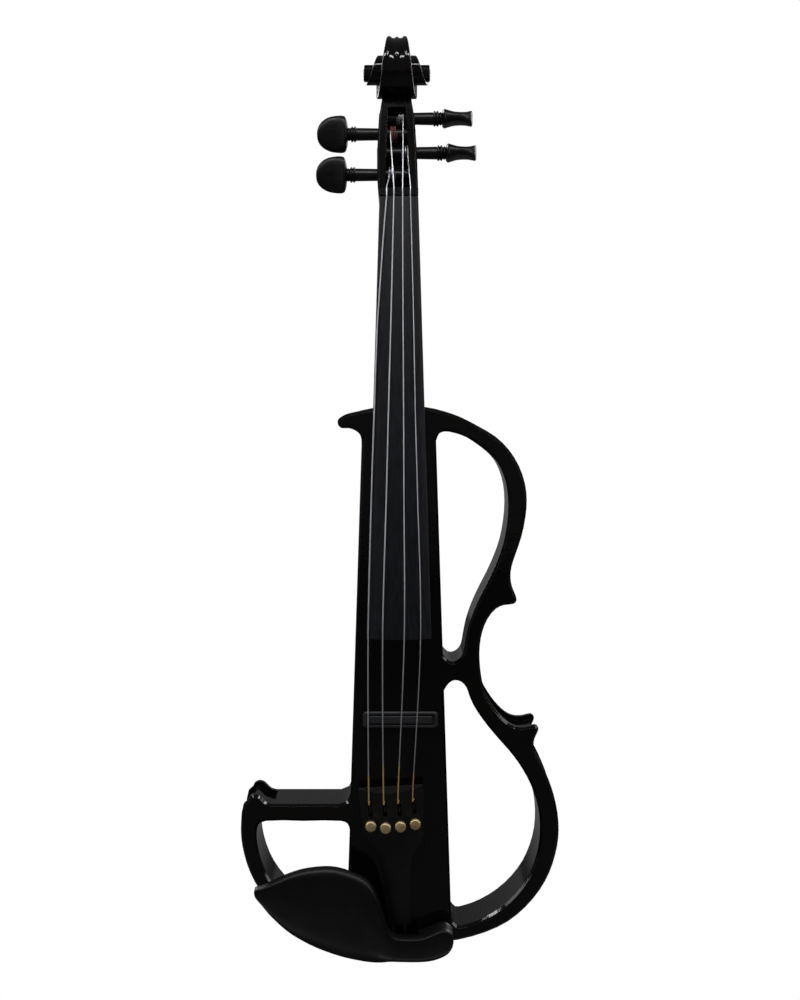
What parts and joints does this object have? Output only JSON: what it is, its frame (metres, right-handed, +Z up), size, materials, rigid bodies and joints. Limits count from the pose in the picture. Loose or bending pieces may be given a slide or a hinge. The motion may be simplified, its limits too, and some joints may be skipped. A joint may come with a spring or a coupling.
{
  "type": "electric violin",
  "caption": "Skeleton-bodied electric violin with fingerboard, scroll, turning pegs, fine tuners, chin rest, bridge pickup and a battery preamp in its back.",
  "frame": {"origin": "the point in the throat under the scroll where the two prongs of a wall or floor hanger hold the violin, in the middle of its width", "axes": "+Z up along the violin towards the scroll, +X to the treble (E string) side, +Y to the back; the strings face -Y"},
  "size_m": [0.2037, 0.0739, 0.588],
  "materials": {
    "black_lacquer": "black polyester lacquer, polished to a gloss",
    "ebony": "dyed hardwood, rubbed satin",
    "black_composite": "moulded, satin",
    "black_plastic": "moulded, fine satin",
    "string_steel": "flat ribbon wound, bright",
    "tuner_brass": "turned, worn plating",
    "lever_steel": "blackened",
    "clamp_chrome": "bright plated",
    "socket_nickel": "turned, nickel plated",
    "cork": "raw cork sheet",
    "tailgut_nylon": "smooth monofilament",
    "battery_case": "plain dark wrapper",
    "contact_brass": "pressed sheet",
    "circuit_board": "solder mask"
  },
  "bodies": {
    "violin_body": {"body_frame": "black_lacquer", "neck_and_scroll": "black_lacquer", "fingerboard": "ebony", "nut": "ebony", "saddle": "ebony", "endpin": "ebony", "tailgut": "tailgut_nylon", "tailpiece": "black_composite", "string_g": "string_steel", "string_d": "string_steel", "string_a": "string_steel", "string_e": "string_steel", "pickup_frame": "black_plastic", "pickup_bar": "black_plastic", "chin_rest": "black_composite", "chin_pad_left": "cork", "chin_pad_right": "cork", "clamp_hook_left": "clamp_chrome", "clamp_hook_right": "clamp_chrome", "battery": "battery_case", "battery_contact_left": "contact_brass", "battery_contact_right": "contact_brass", "preamp_panel": "black_plastic", "preamp_board": "circuit_board", "output_jack": "socket_nickel", "headphone_jack": "socket_nickel"},
    "g_peg": {"peg_g": "ebony", "winding_g": "string_steel"},
    "d_peg": {"peg_d": "ebony", "winding_d": "string_steel"},
    "a_peg": {"peg_a": "ebony", "winding_a": "string_steel"},
    "e_peg": {"peg_e": "ebony", "winding_e": "string_steel"},
    "g_tuner": {"tuner_screw_g": "tuner_brass"},
    "d_tuner": {"tuner_screw_d": "tuner_brass"},
    "a_tuner": {"tuner_screw_a": "tuner_brass"},
    "e_tuner": {"tuner_screw_e": "tuner_brass"},
    "g_lever": {"tuner_lever_g": "lever_steel"},
    "d_lever": {"tuner_lever_d": "lever_steel"},
    "a_lever": {"tuner_lever_a": "lever_steel"},
    "e_lever": {"tuner_lever_e": "lever_steel"},
    "left_barrel": {"clamp_barrel_left": "clamp_chrome"},
    "right_barrel": {"clamp_barrel_right": "clamp_chrome"},
    "chin_clamp_foot": {"clamp_foot": "clamp_chrome", "clamp_foot_pad": "cork"},
    "battery_lid": {"battery_door": "black_plastic"},
    "volume_control": {"volume_knob": "black_plastic"},
    "tone_control": {"tone_knob": "black_plastic"},
    "power_slider": {"power_switch": "black_plastic"}
  },
  "joints": [
    {"name": "g_peg_turn", "type": "hinge", "parent": "violin_body", "child": "g_peg", "pos_m": [0, -0.007, -0.0451], "axis": [-1, 0, 0], "range_deg": [-1260, 360]},
    {"name": "d_peg_turn", "type": "hinge", "parent": "violin_body", "child": "d_peg", "pos_m": [0, -0.003, -0.0194], "axis": [-1, 0, 0], "range_deg": [-1260, 360]},
    {"name": "a_peg_turn", "type": "hinge", "parent": "violin_body", "child": "a_peg", "pos_m": [0, -0.001, -0.0094], "axis": [-1, 0, 0], "range_deg": [-1260, 360]},
    {"name": "e_peg_turn", "type": "hinge", "parent": "violin_body", "child": "e_peg", "pos_m": [0, -0.005, -0.0313], "axis": [-1, 0, 0], "range_deg": [-1260, 360]},
    {"name": "g_tuner_turn", "type": "hinge", "parent": "violin_body", "child": "g_tuner", "pos_m": [-0.0176, -0.025, -0.45248], "axis": [0, 1, 0], "range_deg": [0, 1440]},
    {"name": "d_tuner_turn", "type": "hinge", "parent": "violin_body", "child": "d_tuner", "pos_m": [-0.00832, -0.025, -0.45191], "axis": [0, 1, 0], "range_deg": [0, 1440]},
    {"name": "a_tuner_turn", "type": "hinge", "parent": "violin_body", "child": "a_tuner", "pos_m": [0.00097, -0.025, -0.45134], "axis": [0, 1, 0], "range_deg": [0, 1440]},
    {"name": "e_tuner_turn", "type": "hinge", "parent": "violin_body", "child": "e_tuner", "pos_m": [0.01025, -0.025, -0.45078], "axis": [0, 1, 0], "range_deg": [0, 1440]},
    {"name": "g_lever_tip", "type": "hinge", "parent": "violin_body", "child": "g_lever", "pos_m": [-0.01804, -0.0334, -0.44524], "axis": [0.9981, 0, 0.061], "range_deg": [0, 8]},
    {"name": "d_lever_tip", "type": "hinge", "parent": "violin_body", "child": "d_lever", "pos_m": [-0.00876, -0.03542, -0.44467], "axis": [0.9981, 0, 0.061], "range_deg": [0, 8]},
    {"name": "a_lever_tip", "type": "hinge", "parent": "violin_body", "child": "a_lever", "pos_m": [0.00052, -0.03542, -0.44411], "axis": [0.9981, 0, 0.061], "range_deg": [0, 8]},
    {"name": "e_lever_tip", "type": "hinge", "parent": "violin_body", "child": "e_lever", "pos_m": [0.00981, -0.0334, -0.44354], "axis": [0.9981, 0, 0.061], "range_deg": [0, 8]},
    {"name": "left_barrel_turn", "type": "hinge", "parent": "violin_body", "child": "left_barrel", "pos_m": [-0.0155, -0.007, -0.541], "axis": [0, 1, 0], "range_deg": [0, 1080]},
    {"name": "right_barrel_turn", "type": "hinge", "parent": "violin_body", "child": "right_barrel", "pos_m": [0.0155, -0.007, -0.541], "axis": [0, 1, 0], "range_deg": [0, 1080]},
    {"name": "clamp_opening", "type": "slide", "parent": "violin_body", "child": "chin_clamp_foot", "axis": [0, 1, 0], "range_m": [0, 0.0024]},
    {"name": "battery_lid_hinge", "type": "hinge", "parent": "violin_body", "child": "battery_lid", "pos_m": [-0.01595, 0.0097, -0.274], "axis": [0, 0, 1], "range_deg": [0, 110]},
    {"name": "volume_turn", "type": "hinge", "parent": "violin_body", "child": "volume_control", "pos_m": [0, 0.011, -0.338], "axis": [0, 1, 0], "range_deg": [-150, 150]},
    {"name": "tone_turn", "type": "hinge", "parent": "violin_body", "child": "tone_control", "pos_m": [0, 0.011, -0.36], "axis": [0, 1, 0], "range_deg": [-150, 150]},
    {"name": "power_slide", "type": "slide", "parent": "violin_body", "child": "power_slider", "axis": [1, 0, 0], "range_m": [0, 0.004]}
  ],
  "couplings": [
    {"joint": "g_lever_tip", "follows": "g_tuner_turn", "ratio": 0.005555},
    {"joint": "d_lever_tip", "follows": "d_tuner_turn", "ratio": 0.005555},
    {"joint": "a_lever_tip", "follows": "a_tuner_turn", "ratio": 0.005555},
    {"joint": "e_lever_tip", "follows": "e_tuner_turn", "ratio": 0.005555},
    {"joint": "left_barrel_turn", "follows": "clamp_opening", "rad_per_m": 7854},
    {"joint": "right_barrel_turn", "follows": "clamp_opening", "rad_per_m": 7854}
  ]
}
